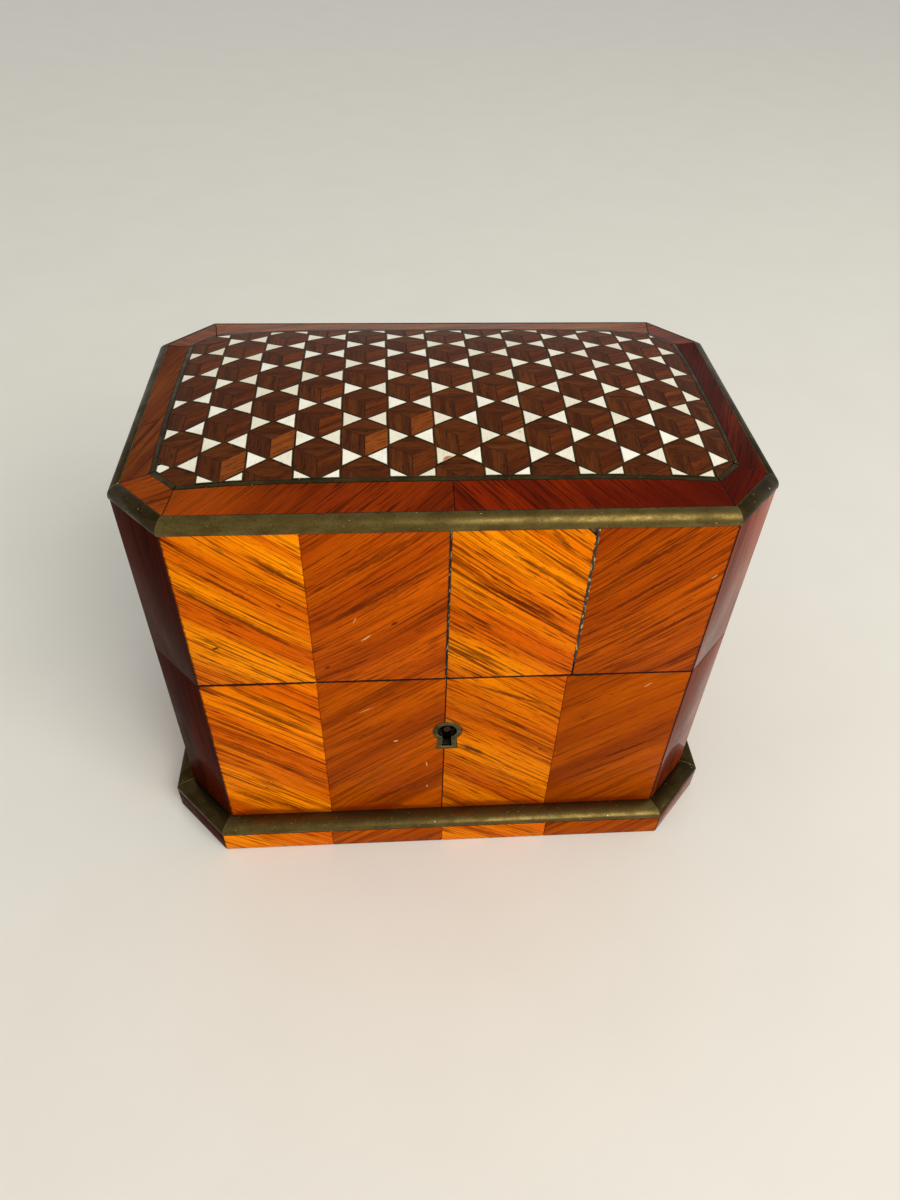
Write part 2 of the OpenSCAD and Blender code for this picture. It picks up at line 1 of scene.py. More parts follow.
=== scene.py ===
import math
import random
import bpy
from mathutils import Matrix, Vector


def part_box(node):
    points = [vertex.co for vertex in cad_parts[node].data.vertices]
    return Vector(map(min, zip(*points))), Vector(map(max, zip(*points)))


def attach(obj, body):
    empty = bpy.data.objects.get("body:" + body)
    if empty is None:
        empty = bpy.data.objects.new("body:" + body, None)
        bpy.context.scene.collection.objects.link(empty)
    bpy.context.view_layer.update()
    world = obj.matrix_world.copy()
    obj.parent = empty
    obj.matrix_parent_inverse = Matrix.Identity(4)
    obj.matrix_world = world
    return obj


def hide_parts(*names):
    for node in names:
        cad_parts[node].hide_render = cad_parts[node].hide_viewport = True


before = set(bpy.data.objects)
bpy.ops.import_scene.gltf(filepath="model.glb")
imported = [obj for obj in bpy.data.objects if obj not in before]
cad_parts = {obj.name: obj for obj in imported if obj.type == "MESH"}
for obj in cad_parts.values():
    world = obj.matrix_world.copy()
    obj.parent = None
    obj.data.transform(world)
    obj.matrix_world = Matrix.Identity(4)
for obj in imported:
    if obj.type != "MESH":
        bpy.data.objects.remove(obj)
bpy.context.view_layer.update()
bpy.ops.object.select_all(action="DESELECT")


# ---- Oak carcass of the case, its bottom board and the plinth rails ----
# Plain oak boards, glued and pinned at the canted corners. Only their edges show, when the lid
# is up. They keep the CAD shape and get sawn, oiled oak with open pores and medullary rays.
def colour(red, green, blue):
    """A colour on the usual scale of 0 to 255, as the shader wants it."""
    return tuple(((c / 255 + 0.055) / 1.055) ** 2.4 if c > 10 else c / 3295 for c in (red, green, blue))


def new_finish(name, **same_all_over):
    """A new finish and its surface shader, with the values that are the same all over."""
    finish = bpy.data.materials.new(name)
    finish.use_nodes = True
    shader = finish.node_tree.nodes["Principled BSDF"]
    for socket, value in same_all_over.items():
        shader.inputs[socket.replace("_", " ")].default_value = value
    return finish, shader


def add(finish, kind, inputs, **settings):
    """Adds a node to a finish. Inputs are plain values, or sockets to be linked."""
    node = finish.node_tree.nodes.new(kind)
    for key, value in settings.items():
        setattr(node, key, value)
    for key, value in inputs.items():
        if isinstance(value, bpy.types.NodeSocket):
            finish.node_tree.links.new(value, node.inputs[key])
        elif node.inputs[key].type == "RGBA":
            node.inputs[key].default_value = (*value, 1.0)
        else:
            node.inputs[key].default_value = value
    return node


def put(finish, shader, socket, value):
    """Links a value to one of the surface shader's sockets."""
    finish.node_tree.links.new(value, shader.inputs[socket])


def here(finish):
    """The place on the piece, in metres."""
    return add(finish, "ShaderNodeTexCoord", {}).outputs["Object"]


def laid(finish, space, turn, size, centre=(0, 0, 0)):
    """Space turned to lie along the grain (degrees), and measured in units of size."""
    turned = tuple(math.radians(a) for a in turn)
    inputs = {"Vector": space, "Location": centre, "Rotation": turned, "Scale": size}
    return add(finish, "ShaderNodeMapping", inputs, vector_type="TEXTURE").outputs[0]


def figure(finish, space, turn, size, detail=2.0, coarse=0.5, centre=(0, 0, 0)):
    """Wood figure: noise drawn out to size (metres) along, through and across the grain."""
    place = laid(finish, space, turn, size, centre)
    inputs = {"Vector": place, "Scale": 1.0, "Detail": detail, "Roughness": coarse}
    return add(finish, "ShaderNodeTexNoise", inputs).outputs[0]


def share(finish, value, low, high, least=0.0, most=1.0):
    """Turns low to high of a value into least to most, with soft ends."""
    inputs = {0: value, 1: low, 2: high, 3: least, 4: most}
    return add(finish, "ShaderNodeMapRange", inputs, interpolation_type="SMOOTHSTEP").outputs[0]


def sums(finish, how, first, second):
    """Simple arithmetic on two values."""
    return add(finish, "ShaderNodeMath", {0: first, 1: second}, operation=how).outputs[0]


def tint(finish, amount, first, second):
    """The first colour, with an amount of the second mixed in."""
    return add(finish, "ShaderNodeMix", {0: amount, 6: first, 7: second}, data_type="RGBA").outputs[2]


def relief(finish, shader, height, depth):
    """Fine relief of the surface, depth in metres."""
    inputs = {"Strength": 1.0, "Distance": depth, "Height": height}
    put(finish, shader, "Normal", add(finish, "ShaderNodeBump", inputs).outputs[0])


def wandering(finish, space, reach, scale):
    """Space that wanders a little, so that the grain isn't ruled straight."""
    noise = add(finish, "ShaderNodeTexNoise", {"Vector": space, "Scale": scale, "Detail": 1.0})
    halves = {0: noise.outputs[1], 1: (0.5, 0.5, 0.5)}
    middle = add(finish, "ShaderNodeVectorMath", halves, operation="SUBTRACT")
    moved = add(finish, "ShaderNodeVectorMath", {0: middle.outputs[0], "Scale": reach}, operation="SCALE")
    return add(finish, "ShaderNodeVectorMath", {0: space, 1: moved.outputs[0]}, operation="ADD").outputs[0]


def sawn_oak(name, turn, shade_centre=None):
    """Oiled oak off the saw, the grain along turn, painted black close round a given point with old grease
    and painted shade.
    """
    finish, shader = new_finish(name, Coat_Weight=0.05)
    space = wandering(finish, here(finish), 0.004, 18)
    bands = figure(finish, space, turn, (0.16, 0.02, 0.005), 3)
    pores = share(finish, figure(finish, space, turn, (0.006, 0.0007, 0.0003), 2), 0.54, 0.66)
    rays = share(finish, figure(finish, space, turn, (0.004, 0.004, 0.0012), 1), 0.62, 0.7)
    base = tint(finish, share(finish, bands, 0.35, 0.65), colour(176, 132, 82), colour(132, 90, 50))
    base = tint(finish, sums(finish, "MULTIPLY", rays, 0.35), base, colour(205, 168, 118))
    base = tint(finish, sums(finish, "MULTIPLY", pores, 0.75), base, colour(70, 42, 22))
    if shade_centre:
        gap = add(finish, "ShaderNodeVectorMath", {0: space, 1: shade_centre}, operation="DISTANCE")
        # Painted shade inside the keyhole, with old grease: black close round the given point.
        grease_and_shade = share(finish, gap.outputs["Value"], 0.012, 0.016, 1.0, 0.0)
        base = tint(finish, grease_and_shade, base, colour(20, 14, 9))
    put(finish, shader, "Base Color", base)
    put(finish, shader, "Roughness", share(finish, bands, 0.3, 0.7, 0.5, 0.72))
    relief(finish, shader, sums(finish, "SUBTRACT", bands, pores), 0.00012)
    return finish


def keep(finish, *nodes):
    """Gives a finish to CAD nodes that are seen as they are."""
    for node in nodes:
        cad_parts[node].material_slots[0].material = finish


lengthways = (0, 0, 0)
crossways = (0, 0, 90)
upright = (0, 90, 0)
oak_along = sawn_oak("oak_along", lengthways)
oak_across = sawn_oak("oak_across", crossways)
oak_upright = sawn_oak("oak_upright", upright)
thread_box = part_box("escutcheon")
mid_board = -0.053
keyhole_middle = (0.0, mid_board, (thread_box[0].z + thread_box[1].z) / 2)
# Round the keyhole the front board's oak is painted black: old grease and painted shade.
keep(sawn_oak("oak_front", lengthways, keyhole_middle), "case_front_board")
keep(oak_along, "bottom_board", "case_back_board", "plinth_front_rail", "plinth_back_rail")
keep(oak_across, "case_left_board", "case_right_board", "plinth_left_rail", "plinth_right_rail")
keep(oak_upright, "case_corner_boards", "plinth_corner_rails")


# ---- Front veneers of the case ----
# Four strips of striped tulipwood, sawn 1 mm thick and glued side by side so that the slant of
# the grain turns at each seam. French polished, with dark wax and old glue in the seams.
def lone(piece):
    """Makes a piece the only one selected, and the active one."""
    bpy.ops.object.select_all(action="DESELECT")
    piece.select_set(True)
    bpy.context.view_layer.objects.active = piece


def worn_copy(node, name, arris, steps=2, flat=0.5, sharp=28, smooth=40):
    """A copy of a node's mesh, merged into whole faces, its arrises worn round by arris.
    The worn faces take the piece's second finish."""
    piece = bpy.data.objects.new(name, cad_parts[node].data.copy())
    bpy.context.collection.objects.link(piece)
    lone(piece)
    bpy.ops.mesh.customdata_custom_splitnormals_clear()
    bpy.ops.object.mode_set(mode="EDIT")
    bpy.ops.mesh.select_all(action="SELECT")
    bpy.ops.mesh.remove_doubles(threshold=0.00001)
    bpy.ops.mesh.dissolve_limited(angle_limit=math.radians(flat))
    bpy.ops.object.mode_set(mode="OBJECT")
    if arris:
        piece.data.materials.append(None)
        worn = piece.modifiers.new("worn_arris", "BEVEL")
        worn.width = arris
        worn.segments = steps
        worn.limit_method = "ANGLE"
        worn.angle_limit = math.radians(sharp)
        worn.material = 1
        bpy.ops.object.modifier_apply(modifier="worn_arris")
    bpy.ops.object.shade_smooth_by_angle(angle=math.radians(smooth))
    return piece


def apart(piece, name, order):
    """Parts a piece into its loose solids, named in the order given."""
    lone(piece)
    bpy.ops.object.mode_set(mode="EDIT")
    bpy.ops.mesh.select_all(action="SELECT")
    bpy.ops.mesh.separate(type="LOOSE")
    bpy.ops.object.mode_set(mode="OBJECT")
    found = sorted(bpy.context.selected_objects, key=order)
    for number, one in enumerate(found, 1):
        one.name = f"{name}_{number}"
    return found


def middle(piece):
    """The middle of a piece's box."""
    corners = [v.co for v in piece.data.vertices]
    return [(min(c[i] for c in corners) + max(c[i] for c in corners)) / 2 for i in range(3)]


def left_first(piece):
    """Orders pieces from left to right."""
    return middle(piece)[0]


def columns_first(piece):
    """Orders pieces from left to right, and each column from front to back."""
    x, y, _ = middle(piece)
    return round(x, 3), round(y, 3)


def front_first(piece):
    """Orders pieces from front to back, and each row from left to right."""
    x, y, _ = middle(piece)
    return round(y, 3), x


def fix(piece, body, nodes, finish, worn=None):
    """Gives a piece its finishes and fixes it on its body, in place of the nodes named."""
    for place, own in enumerate((finish, worn or finish)[:len(piece.data.materials)]):
        piece.data.materials[place] = own
    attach(piece, body)
    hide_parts(*nodes)


def spot(finish, space, centre, turn, size, edge=0.35):
    """1 inside a ragged oval of size (half lengths, metres) about centre, and 0 outside."""
    ragged = wandering(finish, space, min(size) * 1.2, 0.5 / min(size))
    place = laid(finish, ragged, turn, size, centre)
    away = add(finish, "ShaderNodeVectorMath", {0: place}, operation="LENGTH").outputs["Value"]
    return share(finish, away, edge, 1.0, 1.0, 0.0)


def fanned(finish, space, x, z, spread):
    """Space whose grain fans out: it gets steeper upwards of z, by spread per metre, about x."""
    parts = add(finish, "ShaderNodeSeparateXYZ", {0: space}).outputs
    aside = sums(finish, "MULTIPLY", sums(finish, "SUBTRACT", parts[0], x), spread)
    lift = sums(finish, "MULTIPLY", sums(finish, "SUBTRACT", parts[2], z), aside)
    height = sums(finish, "ADD", parts[2], lift)
    return add(finish, "ShaderNodeCombineXYZ", {0: parts[0], 1: parts[1], 2: height}).outputs[0]


def polished_veneer(name, turn, tones, seed=0.0, streaky=0.8, cloudy=0.6, marks=(), gloss=0.03, fan=None):
    """French-polished veneer, the grain along turn, with fine dark streaks, veins and pores.
    Tones are its pale wood, its deep wood and its streaks. Marks are (centre, turn, half lengths,
    colour, strength) of stains, dents, scratches and painted shade. Fan is (x, z, spread) of a fanning grain."""
    pale, deep, streak = tones
    finish, shader = new_finish(name, Coat_Weight=gloss, Coat_Roughness=0.07, Specular_IOR_Level=0.01)
    space = wandering(finish, here(finish), 0.0035, 14)
    if fan:
        space = fanned(finish, space, *fan)
    off = (seed, seed * 0.6, seed * 1.7)
    bands = figure(finish, space, turn, (0.16, 0.03, 0.010), 2, centre=off)
    veins = share(finish, figure(finish, space, turn, (0.090, 0.02, 0.0042), 3, centre=off), 0.52, 0.72)
    fibre = figure(finish, space, turn, (0.013, 0.003, 0.0005), 3, 0.6, centre=off)
    lines = share(finish, figure(finish, space, turn, (0.050, 0.01, 0.0012), 3, 0.60, centre=off), 0.55, 0.64)
    dashes = share(finish, figure(finish, space, turn, (0.015, 0.01, 0.0006), 2, 0.6, centre=off), 0.57, 0.65)
    hairs = share(finish, figure(finish, space, turn, (0.090, 0.01, 0.0005), 2, 0.5, centre=off), 0.57, 0.65)
    pores = share(finish, figure(finish, space, turn, (0.0030, 0.002, 0.00026), 1, centre=off), 0.60, 0.74)
    dirt = share(finish, figure(finish, space, (0, 0, 0), (0.0011,) * 3, 3, centre=off), 0.70, 0.76)
    base = tint(finish, share(finish, bands, 0.32, 0.68), pale, deep)
    base = tint(finish, share(finish, fibre, 0.35, 0.75, 0.0, 0.45), base, deep)
    base = tint(finish, sums(finish, "MULTIPLY", veins, cloudy), base, tuple(c * 0.45 for c in deep))
    base = tint(finish, sums(finish, "MULTIPLY", lines, streaky * 0.85), base, streak)
    base = tint(finish, sums(finish, "MULTIPLY", hairs, streaky * 0.7), base, streak)
    base = tint(finish, sums(finish, "MULTIPLY", dashes, streaky * 0.9), base, streak)
    base = tint(finish, sums(finish, "MULTIPLY", pores, streaky * 0.55), base, streak)
    base = tint(finish, sums(finish, "MULTIPLY", dirt, 0.8), base, colour(28, 16, 8))
    for centre, lie, half, shade, strength in marks:
        amount = sums(finish, "MULTIPLY", spot(finish, here(finish), centre, lie, half), strength)
        base = tint(finish, amount, base, shade)
    put(finish, shader, "Base Color", base)
    put(finish, shader, "Roughness", share(finish, fibre, 0.3, 0.7, 0.30, 0.46))
    relief(finish, shader, sums(finish, "SUBTRACT", fibre, sums(finish, "MAXIMUM", dashes, pores)), 0.00003)
    return finish


def seam_wax(name, shade):
    """Dark wax and polish, gathered on a worn arris or in a joint."""
    finish, shader = new_finish(name, Specular_IOR_Level=0.15)
    specks = figure(finish, here(finish), (0, 0, 0), (0.0012,) * 3, 3)
    dark = tuple(c * 0.5 for c in shade)
    put(finish, shader, "Base Color", tint(finish, share(finish, specks, 0.4, 0.65), shade, dark))
    put(finish, shader, "Roughness", share(finish, specks, 0.3, 0.7, 0.6, 0.85))
    relief(finish, shader, specks, 0.00005)
    return finish


orange_wax = seam_wax("orange_wax", colour(36, 16, 6))
front_face = -0.058
seam_height = 0.0860
shallow = 0.002
bright = colour(252, 142, 2), colour(208, 92, 1), colour(84, 22, 1)
dusky = colour(186, 84, 1), colour(150, 60, 1), colour(66, 17, 1)
dark_edge = colour(74, 24, 8)
white_scratch = colour(214, 172, 112)
# Painted shade in the seam between lid and case, laid along both of its edges.
seam_painted_shade = colour(38, 14, 6)
dark_heart = colour(76, 24, 3)
foot_red = colour(112, 30, 2)


def on_front(x, z, tilt, length, width, shade, strength, deep=0.004):
    """A mark on the front at x and z, tilted by degrees, with half its length, width and depth."""
    return (x, front_face, z), (0, tilt, 0), (length, deep, width), shade, strength


# The marks at seam_height are painted shade in the seam between lid and case.
case_marks = {
    1: [
        on_front(-0.0788, 0.050, 0, 0.0008, 0.3, dark_edge, 0.85, shallow),
        on_front(-0.056, 0.017, 40, 0.006, 0.0009, colour(80, 28, 6), 0.8),
        on_front(-0.062, seam_height, 0, 0.032, 0.0009, seam_painted_shade, 0.9),
        on_front(-0.056, 0.0680, 36, 0.016, 0.0010, dark_heart, 0.65),
        on_front(-0.070, 0.0240, 38, 0.012, 0.0011, dark_heart, 0.6),
    ],
    2: [
        on_front(-0.0175, 0.0545, -20, 0.0012, 0.0006, white_scratch, 0.8, shallow),
        on_front(-0.0068, 0.0405, 84, 0.0016, 0.0003, white_scratch, 0.8, shallow),
        on_front(-0.0065, 0.0270, 80, 0.0010, 0.0004, white_scratch, 0.6, shallow),
        on_front(-0.0270, 0.0715, -30, 0.0040, 0.0003, white_scratch, 0.5, shallow),
        on_front(-0.0220, seam_height, 0, 0.024, 0.0007, seam_painted_shade, 0.8),
        on_front(-0.0200, 0.0230, -34, 0.016, 0.0014, dark_heart, 0.45),
        on_front(-0.0250, 0.0600, -36, 0.015, 0.0009, dark_heart, 0.5),
    ],
    3: [
        on_front(0.0090, 0.0482, 36, 0.0070, 0.0016, colour(60, 34, 8), 0.8),
        on_front(0.0330, 0.0470, 0, 0.0010, 0.0007, colour(80, 34, 8), 0.8, shallow),
        on_front(0.0380, seam_height, 0, 0.014, 0.0010, seam_painted_shade, 0.9),
        on_front(0.0200, 0.0770, 25, 0.020, 0.0009, dark_heart, 0.7),
        on_front(0.0250, 0.0300, 38, 0.018, 0.0010, dark_heart, 0.5),
    ],
    4: [
        on_front(0.0788, 0.050, 0, 0.0006, 0.3, dark_edge, 0.6, shallow),
        on_front(0.0655, 0.0800, -45, 0.0022, 0.0003, white_scratch, 0.7, shallow),
        on_front(0.0420, seam_height, 0, 0.012, 0.0009, seam_painted_shade, 0.9),
        on_front(0.0640, 0.0450, -30, 0.016, 0.0009, dark_heart, 0.65),
        on_front(0.0540, 0.0340, -32, 0.018, 0.0012, dark_heart, 0.5),
    ],
}


def quiet_seam(strip, side):
    """Leaves the worn arris on one side (-1 left, 1 right) in the strip's own wood."""
    own_wood, leaning = 0, 0.3
    for face in strip.data.polygons:
        if face.normal.x * side > leaning:
            face.material_index = own_wood


foot_height = 0.0132
case_slants = {1: 38, 2: -38, 3: 37, 4: -36}
case_depths = {1: 1.0, 2: 1.0, 3: 0.86, 4: 0.87}
quiet_sides = {1: [1], 2: [-1, 1], 3: [1], 4: [-1]}
case_strips = worn_copy("case_front_veneers", "case_front_strip", 0.0003)
for number, strip in enumerate(apart(case_strips, "case_front_strip", left_first), 1):
    tones = [tuple(c * case_depths[number] for c in tone) for tone in (bright if number in (1, 3) else dusky)]
    turn = (0, case_slants[number], 0)
    x, _, z = middle(strip)
    marks = case_marks[number] + [on_front(x, foot_height, 0, 0.034, 0.0036, foot_red, 0.7)]
    fan = (x, z, -1.5 if number in (1, 3) else 1.5)
    streaky = 0.8 if number in (1, 3) else 0.5
    seed = number * 0.13
    finish = polished_veneer(f"tulipwood_case_{number}", turn, tones, seed, streaky, 0.6, marks, fan=fan)
    fix(strip, "case", ["case_front_veneers"], finish, orange_wax)
    for side in quiet_sides[number]:
        quiet_seam(strip, side)


# ---- Side, back and corner veneers of the case ----
# Dark red-brown rosewood, one sheet to each side, the back and each canted corner, the grain
# upright. It carries the thickest French polish of the box, which mirrors what is round it.
def dark_rosewood(name, turn, seed, pale, deep, gloss):
    """Rosewood under a thick, glossy coat of shellac."""
    finish, shader = new_finish(name, Coat_Weight=gloss, Coat_Roughness=0.04, Specular_IOR_Level=gloss * 0.1)
    space = wandering(finish, here(finish), 0.010, 14)
    off = (seed, seed * 0.7, seed * 1.3)
    bands = figure(finish, space, turn, (0.18, 0.03, 0.009), 3, centre=off)
    lines = share(finish, figure(finish, space, turn, (0.035, 0.01, 0.0012), 4, centre=off), 0.52, 0.68)
    pores = share(finish, figure(finish, space, turn, (0.004, 0.002, 0.0003), 1, centre=off), 0.58, 0.72)
    base = tint(finish, share(finish, bands, 0.3, 0.7), pale, deep)
    base = tint(finish, sums(finish, "MULTIPLY", lines, 0.75), base, colour(34, 8, 4))
    base = tint(finish, sums(finish, "MULTIPLY", pores, 0.5), base, colour(16, 5, 4))
    haze = figure(finish, here(finish), (0, 0, 0), (0.018, 0.018, 0.03), 4, 0.6)
    put(finish, shader, "Base Color", base)
    put(finish, shader, "Roughness", share(finish, haze, 0.3, 0.7, 0.22, 0.42))
    relief(finish, shader, sums(finish, "SUBTRACT", haze, sums(finish, "MULTIPLY", pores, 0.1)), 0.00006)
    return finish


rosewood_wax = seam_wax("rosewood_wax", colour(52, 16, 10))
upright_on_side = (0, 90, 90)
red_brown = colour(148, 56, 10), colour(90, 24, 4)
# Painted shade: the left cants' rosewood below is painted nearly black, with almost no gloss.
shaded_rosewood_tones = colour(76, 22, 5), colour(42, 8, 3)
rosewood_upright = dark_rosewood("rosewood", upright, 0.2, *red_brown, gloss=0.26)
rosewood_side = dark_rosewood("rosewood_side", upright_on_side, 0.9, *red_brown, gloss=0.26)
rosewood_painted_shade = dark_rosewood("rosewood_painted_shade", upright, 0.5, *shaded_rosewood_tones, gloss=0.03)


def place_of(piece):
    """Which side or canted corner of the casket a piece lies on."""
    side_x, cant_y = 0.07, 0.03
    x, y, _ = middle(piece)
    left_or_right = "left" if x < 0 else "right"
    front_or_back = "front" if y < 0 else "back"
    if abs(x) < side_x:
        return front_or_back
    return f"{front_or_back}_{left_or_right}_cant" if abs(y) > cant_y else left_or_right


def rosewood_of(sheet):
    """The left corners are painted nearly black and dull, as painted shade."""
    place = place_of(sheet)
    if place in ("left", "right"):
        return rosewood_side
    return rosewood_painted_shade if place.endswith("left_cant") else rosewood_upright


for node, name in (("case_side_veneers", "case_side_sheet"), ("case_cant_veneers", "case_cant_sheet")):
    sheets = worn_copy(node, name, 0.00025)
    for sheet in apart(sheets, name, columns_first):
        fix(sheet, "case", [node], rosewood_of(sheet), rosewood_wax)


# ---- Plinth veneers ----
# The plinth carries on the front's four tulipwood strips, under the brass bead, and the
# rosewood of the sides, back and corners. Its lower arris is rubbed where it meets the table.
plinth = worn_copy("plinth_veneers", "plinth_sheet", 0.0003)
plinth_slants = {1: 34, 2: -36, 3: 30, 4: -38}
for number, sheet in enumerate(apart(plinth, "plinth_sheet", front_first), 1):
    if number in plinth_slants:
        tones = bright if number in (1, 3) else dusky
        turn = (0, plinth_slants[number], 0)
        seed = number * 0.31
        finish = polished_veneer(f"tulipwood_plinth_{number}", turn, tones, seed, streaky=0.7)
        fix(sheet, "case", ["plinth_veneers"], finish, orange_wax)
        quiet_seam(sheet, 1)
        quiet_seam(sheet, -1)
    else:
        fix(sheet, "case", ["plinth_veneers"], rosewood_of(sheet), rosewood_wax)


# ---- Brass bead on the plinth ----
# Eight lengths of drawn half-round brass, mitred at the corners and pinned on the plinth. It has
# gone olive brown, and is rubbed bright along the crest, with small nicks. Away from the front it
# is painted nearly black, as painted shade.
def tarnished_brass(name, dull, clean, shine=0.5):
    """Old drawn brass, tarnished in clouds, with fine scratches and nicks."""
    finish, shader = new_finish(name, Metallic=1.0)
    space = here(finish)
    clouds = figure(finish, space, (0, 0, 0), (0.008, 0.008, 0.003), 4, 0.65)
    grit = figure(finish, space, (0, 0, 0), (0.0007,) * 3, 3, 0.7)
    drawn = figure(finish, space, (0, 0, 0), (0.02, 0.0012, 0.0003), 2)
    nicks = share(finish, figure(finish, space, (20, 35, 10), (0.0022, 0.0006, 0.0006), 1), 0.75, 0.80)
    amount = sums(finish, "MULTIPLY", share(finish, clouds, 0.35, 0.68), shine)
    base = tint(finish, amount, dull, clean)
    base = tint(finish, share(finish, grit, 0.5, 0.72, 0.0, 0.55), base, tuple(c * 0.35 for c in dull))
    base = tint(finish, sums(finish, "MULTIPLY", nicks, 0.7), base, colour(225, 210, 160))
    put(finish, shader, "Base Color", base)
    rough = share(finish, clouds, 0.3, 0.7, 0.50, 0.32)
    put(finish, shader, "Roughness", sums(finish, "ADD", rough, sums(finish, "MULTIPLY", grit, 0.08)))
    worn = sums(finish, "ADD", sums(finish, "MULTIPLY", drawn, 0.4), sums(finish, "MULTIPLY", grit, 0.5))
    relief(finish, shader, sums(finish, "SUBTRACT", worn, nicks), 0.00005)
    return finish


olive_brass = tarnished_brass("olive_brass", colour(90, 76, 40), colour(122, 106, 60), shine=0.6)
rubbed_brass = tarnished_brass("rubbed_brass", colour(112, 102, 64), colour(160, 148, 102), shine=0.7)
# Painted shade: brass painted nearly black, for every length away from the front.
brass_painted_shade = tarnished_brass("brass_painted_shade", colour(50, 38, 18), colour(82, 68, 36), shine=0.5)


def brass_of(length):
    """The front's brass is the cleanest; the rest is painted nearly black, as painted shade."""
    return olive_brass if place_of(length) == "front" else brass_painted_shade


bead = worn_copy("plinth_bead", "plinth_bead_length", 0.00012, steps=2, flat=0.3, sharp=34, smooth=30)
for length in apart(bead, "plinth_bead_length", front_first):
    fix(length, "case", ["plinth_bead"], brass_of(length), rubbed_brass)


# ---- Escutcheon ----
# A brass thread let in flush round the keyhole, cast in one piece and filed smooth. Greenish
# tarnish lies round it, and the key has rubbed its inner edge bright.
keyhole_brass = tarnished_brass("keyhole_brass", colour(56, 52, 32), colour(112, 104, 66), shine=0.6)
thread = worn_copy("escutcheon", "keyhole_thread", 0.00012, steps=3, flat=0.3, sharp=40, smooth=30)
fix(thread, "case", ["escutcheon"], keyhole_brass, rubbed_brass)


# ---- Lock ----
# A small box lock: a folded steel case on a brass back plate and selvedge, a drill pin for the
# key, a flat spring and a sliding brass bolt. Six brass screws hold it.
def worn_metal(name, base, dark, rough=0.34):
    """Bright metal gone dull, brushed one way, with dark pits and finger marks."""
    finish, shader = new_finish(name, Metallic=1.0)
    space = here(finish)
    brush = figure(finish, space, (0, 0, 0), (0.012, 0.0004, 0.0002), 3)
    cloud = figure(finish, space, (0, 0, 0), (0.006,) * 3, 4, 0.6)
    pits = share(finish, figure(finish, space, (0, 0, 0), (0.0006,) * 3, 2), 0.66, 0.74)
    shade = tint(finish, share(finish, cloud, 0.35, 0.7), base, dark)
    shade = tint(finish, share(finish, brush, 0.4, 0.8, 0.0, 0.35), shade, tuple(c * 0.6 for c in base))
    shade = tint(finish, sums(finish, "MULTIPLY", pits, 0.8), shade, tuple(c * 0.25 for c in dark))
    put(finish, shader, "Base Color", shade)
    put(finish, shader, "Roughness", share(finish, cloud, 0.3, 0.7, rough - 0.08, rough + 0.16))
    relief(finish, shader, sums(finish, "SUBTRACT", brush, pits), 0.00003)
    return finish


lock_brass = worn_metal("lock_brass", colour(212, 182, 104), colour(140, 112, 56))
arris_brass = worn_metal("arris_brass", colour(232, 208, 140), colour(176, 148, 84), rough=0.26)
steel_grey = worn_metal("steel_grey", colour(150, 148, 142), colour(92, 86, 78), rough=0.42)
arris_steel = worn_metal("arris_steel", colour(190, 188, 182), colour(130, 124, 116), rough=0.32)
# Painted shade with old grease: the lock case and key pin are painted near black, so the keyhole is dark
# inside.
greasy_shaded_steel = worn_metal("greasy_shaded_steel", colour(52, 48, 42), colour(24, 22, 20), rough=0.55)
greasy_shaded_brass = worn_metal("greasy_shaded_brass", colour(74, 60, 34), colour(40, 32, 20), rough=0.5)
for node, metal, edge in (
    ("lock_case", greasy_shaded_steel, steel_grey),
    ("lock_plate", lock_brass, arris_brass),
    ("lock_selvedge", lock_brass, arris_brass),
    ("key_pin", greasy_shaded_brass, greasy_shaded_brass),
    ("lock_spring", steel_grey, arris_steel),
    ("lock_screws", lock_brass, arris_brass),
):
    part = worn_copy(node, "worn_" + node, 0.00008, steps=1, flat=0.2, sharp=40, smooth=35)
    fix(part, "case", [node], metal, edge)
bolt = worn_copy("lock_bolt", "worn_lock_bolt", 0.00015, steps=2, flat=0.2, sharp=40, smooth=35)
fix(bolt, "bolt", ["lock_bolt"], lock_brass, arris_brass)


# ---- Hinges, lower halves ----
# Two brass butt hinges let into the back, their knuckles outside, on steel pins. Three
# countersunk brass screws hold each leaf.
hinge_brass = worn_metal("hinge_brass", colour(204, 176, 104), colour(128, 104, 56), rough=0.3)
for node, metal, edge in (
    ("hinge_lower_leaves", hinge_brass, arris_brass),
    ("hinge_pins", steel_grey, arris_steel),
    ("hinge_lower_screws", lock_brass, arris_brass),
):
    part = worn_copy(node, "worn_" + node, 0.0001, steps=1, flat=0.2, sharp=40, smooth=35)
    fix(part, "case", [node], metal, edge)


# ---- Velvet linings of the case ----
# Panels of card under wine-red silk velvet, glued round the walls and on the floor. The pile is
# brushed in patches, crushed near the edges and rolled over the card at each edge.
def silk_velvet(name, base, deep, pale):
    """Silk velvet: a short pile that lies in patches, with dust and crushed places."""
    finish, shader = new_finish(name, Roughness=0.92, Sheen_Weight=0.7, Sheen_Roughness=0.35)
    space = here(finish)
    lie = figure(finish, space, (10, 25, 30), (0.016, 0.010, 0.006), 4, 0.65)
    pile = figure(finish, space, (0, 0, 0), (0.00045,) * 3, 2, 0.7)
    dust = share(finish, figure(finish, space, (0, 0, 0), (0.0009,) * 3, 2), 0.72, 0.78)
    shade = tint(finish, share(finish, lie, 0.35, 0.65), base, deep)
    shade = tint(finish, share(finish, pile, 0.5, 0.8, 0.0, 0.6), shade, pale)
    shade = tint(finish, sums(finish, "MULTIPLY", dust, 0.5), shade, colour(190, 170, 160))
    put(finish, shader, "Base Color", shade)
    shader.inputs["Sheen Tint"].default_value = (*colour(214, 120, 130), 1.0)
    relief(finish, shader, sums(finish, "ADD", lie, pile), 0.00025)
    return finish


